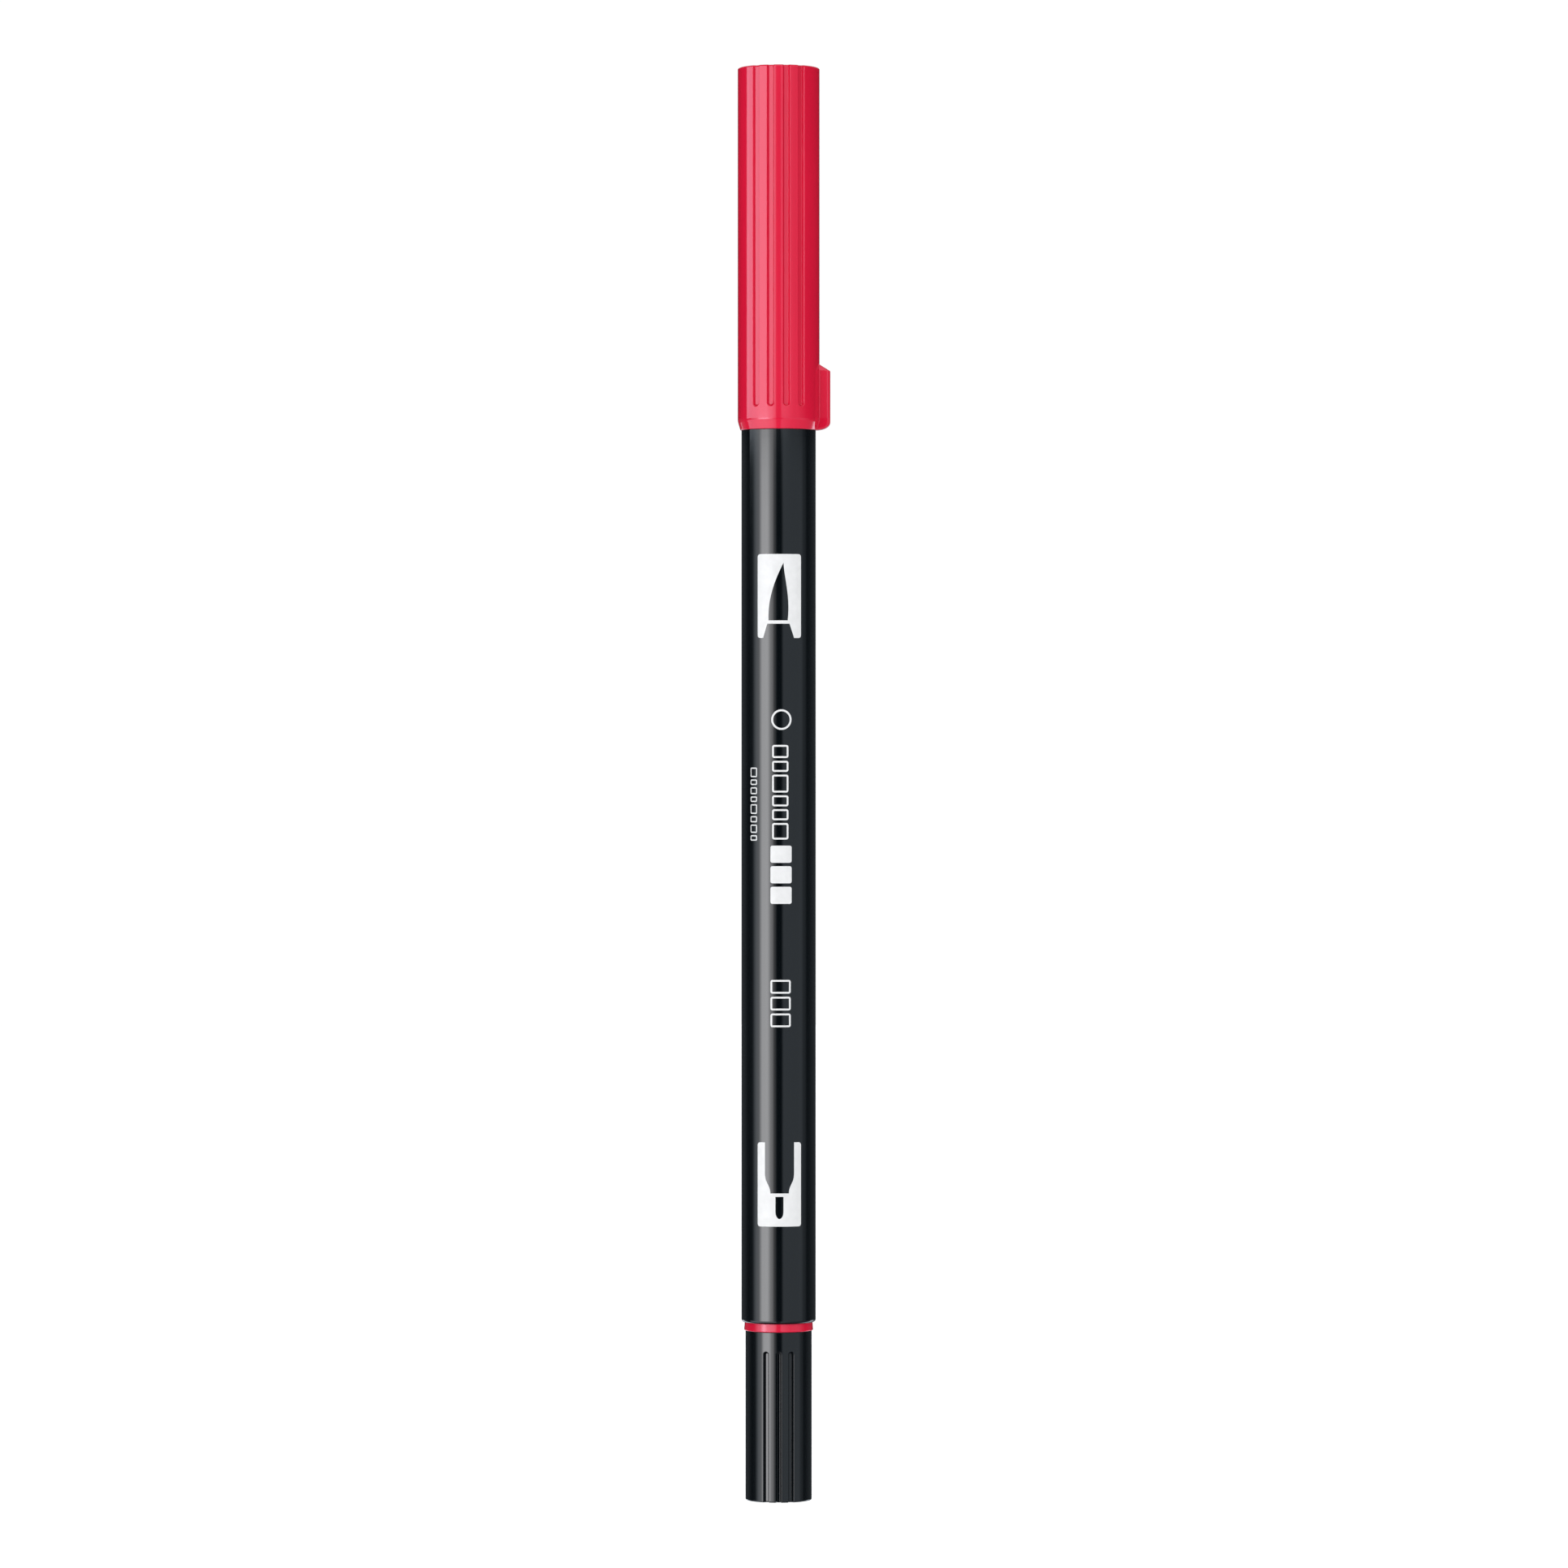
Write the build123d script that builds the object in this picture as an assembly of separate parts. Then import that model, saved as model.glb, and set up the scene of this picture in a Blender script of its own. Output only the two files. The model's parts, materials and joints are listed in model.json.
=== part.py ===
from build123d import *

import os
from math import cos, radians, sin, tan

# Twin-tip brush pen: a black barrel with a brush tip under a long fluted cap and a fine tip under a short one.
# The pen stands upright. Z runs along it, from the outside of the fine cap's end at 0 to the outside of the
# brush cap's end, +X points at the anti-roll lug on the brush cap, and the front faces -Y. Sizes are in mm.

# Driving dimensions: overall lengths and outer radii
PEN_LENGTH = 210.0
BRUSH_CAP_LENGTH = 53.1
FINE_CAP_LENGTH = 24.9
RING_HEIGHT = 1.2
BRUSH_CAP_R = 6.0
BARREL_R = 5.45
RING_R = 5.07
FINE_CAP_R = 4.86

# Fits, as radial clearances
PUSH_FIT = 0.03
CAP_FIT = 0.05

# Levels along the pen
RING_Z = FINE_CAP_LENGTH
BARREL_Z = RING_Z + RING_HEIGHT
MOUTH_Z = PEN_LENGTH - BRUSH_CAP_LENGTH

# Barrel, with the neck that the brush cap pushes onto
BORE_R = 4.55
NECK_R = 4.60
NECK_BORE_R = 3.85
NECK_TOP_Z = MOUTH_Z + 10.0
NECK_TOP_FILLET = 0.3
NECK_BORE_Z = MOUTH_Z + 0.3
BORE_TAPER_Z = MOUTH_Z - 1.6
NECK_BEAD = 0.14
NECK_BEAD_WIDTH = 1.6
NECK_BEAD_Z = MOUTH_Z + 5.0
BARREL_END_FILLET = 0.35
BARREL_RIB_COUNT = 6
BARREL_RIB_WIDTH = 0.6
BARREL_RIB_TIP_R = 4.23
BARREL_RIB_TAPER = 0.5

# Ink reservoir and its film
RESERVOIR_R = 4.00
FILM_WALL = 0.15
RESERVOIR_Z = (33.6, 155.0)
BARREL_RIB_Z = (RESERVOIR_Z[0] + 6.0, RESERVOIR_Z[1] - 4.0)
SOCKET_SPARE = 0.2

# Brush section: spigot in the neck, flange on it, sealing land and cone
FLANGE_R = 4.35
FLANGE_HEIGHT = 1.0
BRUSH_LAND_R = 3.75
BRUSH_LAND_TOP_Z = NECK_TOP_Z + 5.5
BRUSH_NOSE_R = 2.65
BRUSH_NOSE_Z = 181.4
BRUSH_LAND_FILLETS = (0.2, 1.5)
BRUSH_NOSE_FILLET = 0.25
SPIGOT_Z = MOUTH_Z + 1.6
SPIGOT_BORE_R = 3.05
SPIGOT_BORE_TOP_Z = NECK_TOP_Z + 1.2
SPIGOT_BORE_TAPER = 1.2
SPIGOT_FILLET = 0.3
VENT_COUNT = 3
VENT_WIDTH = 0.5

# Brush nib
BRUSH_STEM_R = 1.60
BRUSH_BODY_R = 2.10
BRUSH_BELLY_R = 2.28
BRUSH_BELLY_UP = 3.6
BRUSH_POINT_R = 1.42
BRUSH_POINT_UP = 9.2
BRUSH_START_SLOPE = (0.08, 1)
BRUSH_END_SLOPE = (-0.24, 1)
BRUSH_TIP_R = 0.20
BRUSH_TIP_Z = 195.0
BRUSH_SEAT_Z = BRUSH_NOSE_Z - 3.4
BRUSH_TAIL_DEPTH = 7.5

# Fine section: spigot in the barrel, neck for the fine cap, sealing land and nose
FINE_SPIGOT_TOP_Z = 33.2
FINE_HOLLOW_R = 3.05
FINE_NECK_R = 3.70
FINE_BEAD = 0.08
FINE_BEAD_WIDTH = 1.2
FINE_NECK_END_Z = 16.9
FINE_NECK_CHAMFER = 0.25
FINE_SHOULDER_R = 2.52
FINE_SHOULDER_Z = 15.05
FINE_SNAP_Z = RING_Z - 4.4
RING_KEEPER_Z = RING_Z - 0.3
FINE_LAND_R = 2.10
FINE_LAND_Z = (10.2, 13.6)
FINE_NOSE_R = 1.50
FINE_NOSE_Z = 7.7
FINE_NOSE_CHAMFER = 0.2
FINE_BORE_TOP_Z = 14.2
FINE_FUNNEL = ((FINE_HOLLOW_R - 0.6, 18.2), (FINE_HOLLOW_R, 19.2))
RING_FILLETS = (0.2, 0.08)

# Fine nib
FINE_NIB_R = 0.80
FINE_NIB_TIP_R = 0.25
FINE_NIB_HALF_ANGLE = 20.0
FINE_NIB_TIP_Z = 4.9
FINE_NIB_TAIL_DEPTH = 5.4

# Brush cap, its flutes and its anti-roll lug
FLUTE_PITCH = 22.5
FLUTE_SHARE = 0.5
CUTTER_SPARE = 1.0
BRUSH_FLUTE_DEPTH = 0.40
BRUSH_FLUTE_START_Z = 160.1
BRUSH_CAP_STEP_Z = NECK_TOP_Z + 0.7
BRUSH_CAP_BORE_R = 4.55
BRUSH_CAP_END = 1.4
MOUTH_CHAMFER = (0.33, 1.1)
CAP_RIM_FILLET = 0.2
CAP_MOUTH_FILLET = 0.1
MOUTH_LEAD_IN = (0.15, 0.3)
LUG_ROOT = 0.7
LUG_WIDTH = 2.4
LUG_X = 7.58
LUG_TOP_Z = 166.55
LUG_SHOULDER_Z = 165.55
LUG_CORNER = 0.2
LUG_FOOT_FILLET = 1.1
LUG_EDGE_FILLET = 0.45

# Fine cap
FINE_FLUTE_DEPTH = 0.50
FINE_FLUTE_END_Z = 22.1
FINE_CAP_STEP_Z = 16.2
FINE_CAP_BORE_R = 3.45
FINE_CAP_END = 1.3

# Sealing liners inside the caps, and the cap ribs that hold them
CAP_RIB_COUNT = 6
CAP_RIB_WIDTH = 0.8
CAP_RIB_LEAD = 0.6
CAP_RIB_STOP_SHARE = 0.62
BRUSH_LINER_R = 4.20
BRUSH_LINER_Z = (168.4, 201.2)
FINE_LINER_R = 2.75
FINE_LINER_Z = (3.3, 13.2)
LINER_WALL_END = 0.6
LINER_LEAD_IN = 0.25
BRUSH_LINER_FILLET = 0.4
FINE_LINER_FILLET = 0.3

RIB_ROOT = 0.2  # how far a rib's root runs into the wall that carries it


def turned(*points, fillets=()):
    """A body turned about Z from the (radius, height) corners of its half section.

    fillets holds ((radius, height), fillet radius) for each corner that is rounded.
    """
    outline = make_face(Polyline(*points, close=True))
    for corner, radius in fillets:
        outline = fillet(outline.vertices().sort_by_distance(corner)[0], radius)
    return revolve(Plane.XZ * outline, Axis.Z)


def around(shape, count):
    """count copies of a shape, evenly spaced about Z."""
    return [Rot(0, 0, i * 360 / count) * shape for i in range(count)]


def ring_bead(radius, z, height, width):
    """A half-round bead, height proud of the radius and width long, centred at z."""
    arc = ThreePointArc((radius, z - width / 2), (radius + height, z), (radius, z + width / 2))
    root = Polyline(
        (radius, z + width / 2), (radius - RIB_ROOT, z + width / 2), (radius - RIB_ROOT, z - width / 2),
        (radius, z - width / 2),
    )
    return revolve(Plane.XZ * make_face(arc + root), Axis.Z)


def upright_rib(outline, width):
    """A rib of the given width, whose (radius, height) outline stands in the XZ plane."""
    face = Plane.XZ * make_face(Polyline(*outline, close=True))
    return extrude(face, width / 2, both=True)


def barrel():
    """The outer tube, with its stepped neck and the inner ribs that centre the reservoir."""
    tube = turned(
        (BORE_R, BARREL_Z),
        (BARREL_R, BARREL_Z),
        (BARREL_R, MOUTH_Z),
        (NECK_R, MOUTH_Z),
        (NECK_R, NECK_TOP_Z),
        (NECK_BORE_R, NECK_TOP_Z),
        (NECK_BORE_R, NECK_BORE_Z),
        (BORE_R, BORE_TAPER_Z),
        fillets=[((BARREL_R, BARREL_Z), BARREL_END_FILLET), ((NECK_R, NECK_TOP_Z), NECK_TOP_FILLET)],
    )
    tube += ring_bead(NECK_R, NECK_BEAD_Z, NECK_BEAD, NECK_BEAD_WIDTH)
    low, high = BARREL_RIB_Z
    rib = upright_rib(
        [(BARREL_RIB_TIP_R, low + BARREL_RIB_TAPER), (BORE_R + RIB_ROOT, low), (BORE_R + RIB_ROOT, high),
         (BARREL_RIB_TIP_R, high - BARREL_RIB_TAPER)],
        BARREL_RIB_WIDTH,
    )
    return tube + around(rib, BARREL_RIB_COUNT)


def ink_reservoir():
    """The fibre bundle that holds the ink, with a socket at each end where a nib's tail sits."""
    low, high = RESERVOIR_Z
    fine_socket_z = low + FINE_NIB_TAIL_DEPTH + SOCKET_SPARE
    brush_socket_z = high - BRUSH_TAIL_DEPTH - SOCKET_SPARE
    return turned(
        (0, fine_socket_z),
        (FINE_NIB_R + PUSH_FIT, fine_socket_z),
        (FINE_NIB_R + PUSH_FIT, low),
        (RESERVOIR_R, low),
        (RESERVOIR_R, high),
        (BRUSH_STEM_R + PUSH_FIT, high),
        (BRUSH_STEM_R + PUSH_FIT, brush_socket_z),
        (0, brush_socket_z),
    )


def reservoir_film():
    """The plastic film wrapped round the fibre bundle."""
    inner = RESERVOIR_R + PUSH_FIT / 2
    low, high = RESERVOIR_Z
    return turned((inner, low), (inner + FILM_WALL, low), (inner + FILM_WALL, high), (inner, high))


def brush_section():
    """The mouthpiece that holds the brush nib, pushed into the barrel's neck."""
    flange_top = NECK_TOP_Z + FLANGE_HEIGHT
    spigot_r = NECK_BORE_R - PUSH_FIT
    stem_bore = BRUSH_STEM_R + PUSH_FIT
    body_bore = BRUSH_BODY_R + PUSH_FIT
    body = turned(
        (SPIGOT_BORE_R, SPIGOT_Z),
        (spigot_r, SPIGOT_Z),
        (spigot_r, NECK_TOP_Z),
        (FLANGE_R, NECK_TOP_Z),
        (FLANGE_R, flange_top),
        (BRUSH_LAND_R, flange_top),
        (BRUSH_LAND_R, BRUSH_LAND_TOP_Z),
        (BRUSH_NOSE_R, BRUSH_NOSE_Z),
        (body_bore, BRUSH_NOSE_Z),
        (body_bore, BRUSH_SEAT_Z),
        (stem_bore, BRUSH_SEAT_Z),
        (stem_bore, SPIGOT_BORE_TOP_Z + SPIGOT_BORE_TAPER),
        (SPIGOT_BORE_R, SPIGOT_BORE_TOP_Z),
        fillets=[
            ((spigot_r, SPIGOT_Z), SPIGOT_FILLET),
            ((FLANGE_R, flange_top), SPIGOT_FILLET),
            ((BRUSH_LAND_R, flange_top), BRUSH_LAND_FILLETS[0]),
            ((BRUSH_LAND_R, BRUSH_LAND_TOP_Z), BRUSH_LAND_FILLETS[1]),
            ((BRUSH_NOSE_R, BRUSH_NOSE_Z), BRUSH_NOSE_FILLET),
        ],
    )
    vent_length = BRUSH_SEAT_Z - SPIGOT_BORE_TOP_Z
    vent = Box(VENT_WIDTH, VENT_WIDTH, vent_length, align=(Align.CENTER, Align.CENTER, Align.MIN))
    return body - around(Pos(stem_bore, 0, SPIGOT_BORE_TOP_Z) * vent, VENT_COUNT)


def brush_nib():
    """The flexible brush tip with its stem, whose tail reaches into the reservoir."""
    tail_z = RESERVOIR_Z[1] - BRUSH_TAIL_DEPTH
    seat_z = BRUSH_SEAT_Z + PUSH_FIT
    tip_centre_z = BRUSH_TIP_Z - BRUSH_TIP_R
    flank = Spline(
        (BRUSH_BODY_R, BRUSH_NOSE_Z),
        (BRUSH_BELLY_R, BRUSH_NOSE_Z + BRUSH_BELLY_UP),
        (BRUSH_POINT_R, BRUSH_NOSE_Z + BRUSH_POINT_UP),
        (BRUSH_TIP_R, tip_centre_z),
        tangents=[BRUSH_START_SLOPE, BRUSH_END_SLOPE],
    )
    point = CenterArc((0, tip_centre_z), BRUSH_TIP_R, 0, 90)
    rest = Polyline(
        (0, BRUSH_TIP_Z), (0, tail_z), (BRUSH_STEM_R, tail_z), (BRUSH_STEM_R, seat_z), (BRUSH_BODY_R, seat_z),
        (BRUSH_BODY_R, BRUSH_NOSE_Z),
    )
    return revolve(Plane.XZ * make_face(flank + point + rest), Axis.Z)


def colour_ring():
    """The coloured ring between the barrel's end and the fine cap."""
    return turned(
        (FINE_NECK_R + PUSH_FIT, RING_Z),
        (RING_R, RING_Z),
        (RING_R, BARREL_Z),
        (FINE_NECK_R + PUSH_FIT, BARREL_Z),
        fillets=[((RING_R, RING_Z), RING_FILLETS[0]), ((RING_R, BARREL_Z), RING_FILLETS[1])],
    )


def fine_section():
    """The mouthpiece that holds the fine nib, pushed into the barrel's lower end."""
    spigot_r = BORE_R - PUSH_FIT
    nib_bore = FINE_NIB_R + PUSH_FIT
    land_low, land_high = FINE_LAND_Z
    shoulder_r = FINE_NECK_R - FINE_NECK_CHAMFER
    outer = Polyline(
        (FINE_HOLLOW_R, FINE_SPIGOT_TOP_Z),
        (spigot_r, FINE_SPIGOT_TOP_Z),
        (spigot_r, BARREL_Z),
        (FINE_NECK_R, BARREL_Z),
        (FINE_NECK_R, FINE_NECK_END_Z + FINE_NECK_CHAMFER),
        (shoulder_r, FINE_NECK_END_Z),
    )
    shoulder = ThreePointArc(
        (shoulder_r, FINE_NECK_END_Z), (FINE_SHOULDER_R, FINE_SHOULDER_Z), (FINE_LAND_R, land_high)
    )
    nose = Polyline(
        (FINE_LAND_R, land_high),
        (FINE_LAND_R, land_low),
        (FINE_NOSE_R, FINE_NOSE_Z + FINE_NOSE_CHAMFER),
        (FINE_NOSE_R - FINE_NOSE_CHAMFER, FINE_NOSE_Z),
        (nib_bore, FINE_NOSE_Z),
        (nib_bore, FINE_BORE_TOP_Z),
        *FINE_FUNNEL,
        (FINE_HOLLOW_R, FINE_SPIGOT_TOP_Z),
    )
    body = revolve(Plane.XZ * make_face(outer + shoulder + nose), Axis.Z)
    snap = ring_bead(FINE_NECK_R, FINE_SNAP_Z, FINE_BEAD, FINE_BEAD_WIDTH)
    ring_keeper = ring_bead(FINE_NECK_R, RING_KEEPER_Z, FINE_BEAD, RING_HEIGHT / 2)
    return body + snap + ring_keeper


def fine_nib():
    """The fine nib: a rod with a conical, round-ended point, whose tail reaches into the reservoir."""
    tail_z = RESERVOIR_Z[0] + FINE_NIB_TAIL_DEPTH
    centre_z = FINE_NIB_TIP_Z + FINE_NIB_TIP_R
    slope = radians(FINE_NIB_HALF_ANGLE)
    cone_start = (FINE_NIB_TIP_R * cos(slope), centre_z - FINE_NIB_TIP_R * sin(slope))
    shoulder = (FINE_NIB_R, cone_start[1] + (FINE_NIB_R - cone_start[0]) / tan(slope))
    point = CenterArc((0, centre_z), FINE_NIB_TIP_R, -90, 90 - FINE_NIB_HALF_ANGLE)
    rod = Polyline(cone_start, shoulder, (FINE_NIB_R, tail_z), (0, tail_z), (0, FINE_NIB_TIP_Z))
    return revolve(Plane.XZ * make_face(point + rod), Axis.Z)


def flute(outer_r, depth, rounded_z, open_z):
    """The cutter for one flute: a flat-floored slot, rounded at one end and open at the other."""
    width = outer_r * radians(FLUTE_SHARE * FLUTE_PITCH)
    away = 1 if open_z > rounded_z else -1
    centre_z = rounded_z + away * width / 2
    length = abs(open_z - centre_z) + CUTTER_SPARE
    face = Plane((outer_r - depth, 0, centre_z), x_dir=(0, 1, 0), z_dir=(1, 0, 0))
    slot = Circle(width / 2) + Pos(0, away * length / 2) * Rectangle(width, length)
    return extrude(face * slot, depth + CUTTER_SPARE)


def fluted(cap, cutter, count):
    """A cap with the same run of flutes centred on its front and on its back, clear of its sides."""
    first = -(count - 1) / 2 * FLUTE_PITCH
    for middle in (-90, 90):
        for i in range(count):
            cap -= Rot(0, 0, middle + first + i * FLUTE_PITCH) * cutter
    return cap


def lug():
    """The anti-roll lug at the brush cap's mouth."""
    root_x = BRUSH_CAP_R - LUG_ROOT
    slope = (LUG_TOP_Z - LUG_SHOULDER_Z) / (LUG_X - BRUSH_CAP_R)
    outline = make_face(Polyline(
        (root_x, MOUTH_Z),
        (LUG_X, MOUTH_Z),
        (LUG_X, LUG_SHOULDER_Z),
        (root_x, LUG_SHOULDER_Z + slope * (LUG_X - root_x)),
        close=True,
    ))
    outline = fillet(outline.vertices().sort_by_distance((LUG_X, MOUTH_Z))[0], LUG_FOOT_FILLET)
    outline = fillet(outline.vertices().sort_by_distance((LUG_X, LUG_SHOULDER_Z))[0], LUG_CORNER)
    block = extrude(Plane.XZ * outline, LUG_WIDTH / 2, both=True)
    outer_face = block.faces().filter_by(Axis.X).sort_by(Axis.X)[-1]
    sides = outer_face.edges().filter_by(Axis.Z)
    return fillet(sides, LUG_EDGE_FILLET)


def liner_rib(bore_r, liner_r, liner_low, liner_high, end_z):
    """A cap rib: shallow beside the liner, and deep beyond its closed end, where it stops it."""
    root = bore_r + RIB_ROOT
    tip = liner_r + PUSH_FIT
    stop_r = liner_r * CAP_RIB_STOP_SHARE
    mouth_z, stop_z = (liner_low, liner_high) if end_z > liner_high else (liner_high, liner_low)
    return upright_rib(
        [(root, mouth_z), (tip, mouth_z), (tip, stop_z), (stop_r, stop_z), (stop_r, end_z), (root, end_z)],
        CAP_RIB_WIDTH,
    )


def brush_cap():
    """The long cap over the brush tip, with flutes, lug and the ribs for its liner."""
    mouth_bore = NECK_R + NECK_BEAD + CAP_FIT
    end_z = PEN_LENGTH - BRUSH_CAP_END
    chamfer_in, chamfer_up = MOUTH_CHAMFER
    lead_in, lead_up = MOUTH_LEAD_IN
    mouth_r = BRUSH_CAP_R - chamfer_in
    shell = turned(
        (mouth_bore + lead_in, MOUTH_Z),
        (mouth_r, MOUTH_Z),
        (BRUSH_CAP_R, MOUTH_Z + chamfer_up),
        (BRUSH_CAP_R, PEN_LENGTH),
        (0, PEN_LENGTH),
        (0, end_z),
        (BRUSH_CAP_BORE_R, end_z),
        (BRUSH_CAP_BORE_R, BRUSH_CAP_STEP_Z),
        (mouth_bore, BRUSH_CAP_STEP_Z),
        (mouth_bore, MOUTH_Z + lead_up),
        fillets=[((mouth_r, MOUTH_Z), CAP_MOUTH_FILLET), ((BRUSH_CAP_R, PEN_LENGTH), CAP_RIM_FILLET)],
    )
    shell = fluted(shell, flute(BRUSH_CAP_R, BRUSH_FLUTE_DEPTH, BRUSH_FLUTE_START_Z, PEN_LENGTH), 4)
    low, high = BRUSH_LINER_Z
    rib = liner_rib(
        BRUSH_CAP_BORE_R, BRUSH_LINER_R, low + CAP_RIB_LEAD, high + PUSH_FIT, end_z + RIB_ROOT
    )
    return shell + lug() + around(rib, CAP_RIB_COUNT)


def brush_cap_liner():
    """The sealing cup inside the brush cap, which closes on the brush section's land."""
    low, high = BRUSH_LINER_Z
    inner = BRUSH_LAND_R + PUSH_FIT
    return turned(
        (inner + LINER_LEAD_IN, low),
        (BRUSH_LINER_R, low),
        (BRUSH_LINER_R, high),
        (0, high),
        (0, high - LINER_WALL_END),
        (inner, high - LINER_WALL_END),
        (inner, low + 2 * LINER_LEAD_IN),
        fillets=[((BRUSH_LINER_R, high), BRUSH_LINER_FILLET)],
    )


def fine_cap():
    """The short cap over the fine tip, with flutes and the ribs for its liner."""
    mouth_bore = FINE_NECK_R + FINE_BEAD + CAP_FIT
    lead_in, lead_up = MOUTH_LEAD_IN
    shell = turned(
        (0, 0),
        (FINE_CAP_R, 0),
        (FINE_CAP_R, FINE_CAP_LENGTH),
        (mouth_bore + lead_in, FINE_CAP_LENGTH),
        (mouth_bore, FINE_CAP_LENGTH - lead_up),
        (mouth_bore, FINE_CAP_STEP_Z),
        (FINE_CAP_BORE_R, FINE_CAP_STEP_Z),
        (FINE_CAP_BORE_R, FINE_CAP_END),
        (0, FINE_CAP_END),
        fillets=[((FINE_CAP_R, 0), CAP_RIM_FILLET), ((FINE_CAP_R, FINE_CAP_LENGTH), CAP_MOUTH_FILLET)],
    )
    shell = fluted(shell, flute(FINE_CAP_R, FINE_FLUTE_DEPTH, FINE_FLUTE_END_Z, 0), 3)
    low, high = FINE_LINER_Z
    rib = liner_rib(
        FINE_CAP_BORE_R, FINE_LINER_R, low - PUSH_FIT, high - CAP_RIB_LEAD, FINE_CAP_END - RIB_ROOT
    )
    return shell + around(rib, CAP_RIB_COUNT)


def fine_cap_liner():
    """The sealing cup inside the fine cap, which closes on the fine section's land."""
    low, high = FINE_LINER_Z
    inner = FINE_LAND_R + PUSH_FIT
    return turned(
        (0, low),
        (FINE_LINER_R, low),
        (FINE_LINER_R, high),
        (inner + LINER_LEAD_IN, high),
        (inner, high - 2 * LINER_LEAD_IN),
        (inner, low + LINER_WALL_END),
        (0, low + LINER_WALL_END),
        fillets=[((FINE_LINER_R, low), FINE_LINER_FILLET)],
    )


PIECES = {
    "barrel": barrel,
    "ink_reservoir": ink_reservoir,
    "reservoir_film": reservoir_film,
    "brush_section": brush_section,
    "brush_nib": brush_nib,
    "colour_ring": colour_ring,
    "fine_section": fine_section,
    "fine_nib": fine_nib,
    "brush_cap": brush_cap,
    "brush_cap_liner": brush_cap_liner,
    "fine_cap": fine_cap,
    "fine_cap_liner": fine_cap_liner,
}

os.makedirs("parts", exist_ok=True)
for name, make in PIECES.items():
    export_step(make(), f"parts/{name}.step")
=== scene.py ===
import json
from math import asin, ceil, cos, hypot, pi, radians, sin, sqrt, tan

import bmesh
import bpy
from mathutils import Matrix, Vector
from mathutils.geometry import interpolate_bezier


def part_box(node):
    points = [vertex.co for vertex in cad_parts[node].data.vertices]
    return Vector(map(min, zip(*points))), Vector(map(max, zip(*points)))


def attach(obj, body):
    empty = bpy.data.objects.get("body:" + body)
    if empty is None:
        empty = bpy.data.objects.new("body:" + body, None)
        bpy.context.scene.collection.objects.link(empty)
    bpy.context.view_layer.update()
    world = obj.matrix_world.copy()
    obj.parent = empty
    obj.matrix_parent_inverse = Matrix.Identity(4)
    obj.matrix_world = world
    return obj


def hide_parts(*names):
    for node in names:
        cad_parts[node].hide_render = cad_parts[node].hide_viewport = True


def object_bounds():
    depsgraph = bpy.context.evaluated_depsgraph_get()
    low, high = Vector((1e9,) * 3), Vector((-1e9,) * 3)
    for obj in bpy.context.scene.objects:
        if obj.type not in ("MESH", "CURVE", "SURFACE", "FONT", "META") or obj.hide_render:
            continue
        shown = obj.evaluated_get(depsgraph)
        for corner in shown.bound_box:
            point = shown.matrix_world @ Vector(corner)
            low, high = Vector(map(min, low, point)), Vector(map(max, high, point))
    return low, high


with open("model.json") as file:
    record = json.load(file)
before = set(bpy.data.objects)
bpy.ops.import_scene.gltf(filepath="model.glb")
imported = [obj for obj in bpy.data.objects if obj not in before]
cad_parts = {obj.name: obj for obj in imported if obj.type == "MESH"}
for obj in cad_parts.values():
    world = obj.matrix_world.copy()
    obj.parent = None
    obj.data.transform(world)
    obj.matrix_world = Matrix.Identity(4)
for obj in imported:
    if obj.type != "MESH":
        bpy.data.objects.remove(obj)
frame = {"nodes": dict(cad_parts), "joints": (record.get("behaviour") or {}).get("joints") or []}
cad_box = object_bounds()

# ---------------------------------------------------------------------------------------------------------
# Sizes, in millimetres, from the frame
# ---------------------------------------------------------------------------------------------------------

MM = 0.001


def limits(node):
    """Lowest and highest corner of a CAD node, in millimetres."""
    low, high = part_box(node)
    return low / MM, high / MM


barrel_low, barrel_high = limits("barrel")
ring_low, ring_high = limits("colour_ring")
brush_low, brush_high = limits("brush_cap")
fine_low, fine_high = limits("fine_cap")
brush_nose = limits("brush_section")[1].z
brush_tip = limits("brush_nib")[1].z
fine_nose = limits("fine_section")[0].z
fine_tip = limits("fine_nib")[0].z

BARREL_R = barrel_high.x
RING_R = ring_high.x
BRUSH_CAP_R = brush_high.y
FINE_CAP_R = fine_high.x
BRUSH_MOUTH_Z = brush_low.z
FINE_MOUTH_Z = fine_high.z
LUG_X = brush_high.x
PULL = {joint["name"]: joint["range_m"][1] / MM for joint in frame["joints"]}

# Directions round the pen, from the lug's side
FRONT = -pi / 2
BACK = pi / 2

# How finely round shapes are cut
SEGMENTS = 160
ARC_STEP = radians(9)
SUPPORT = 0.15          # distance of the point beyond each end of a fillet, as a share of its radius

# Tolerances
ON_AXIS = 1e-6
ON_ROUND = 0.0005
JOIN_GAP = 0.0004
TINY = 1e-9             # stands for zero where a radius is divided by


# ---------------------------------------------------------------------------------------------------------
# Outlines and meshes
# ---------------------------------------------------------------------------------------------------------

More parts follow.
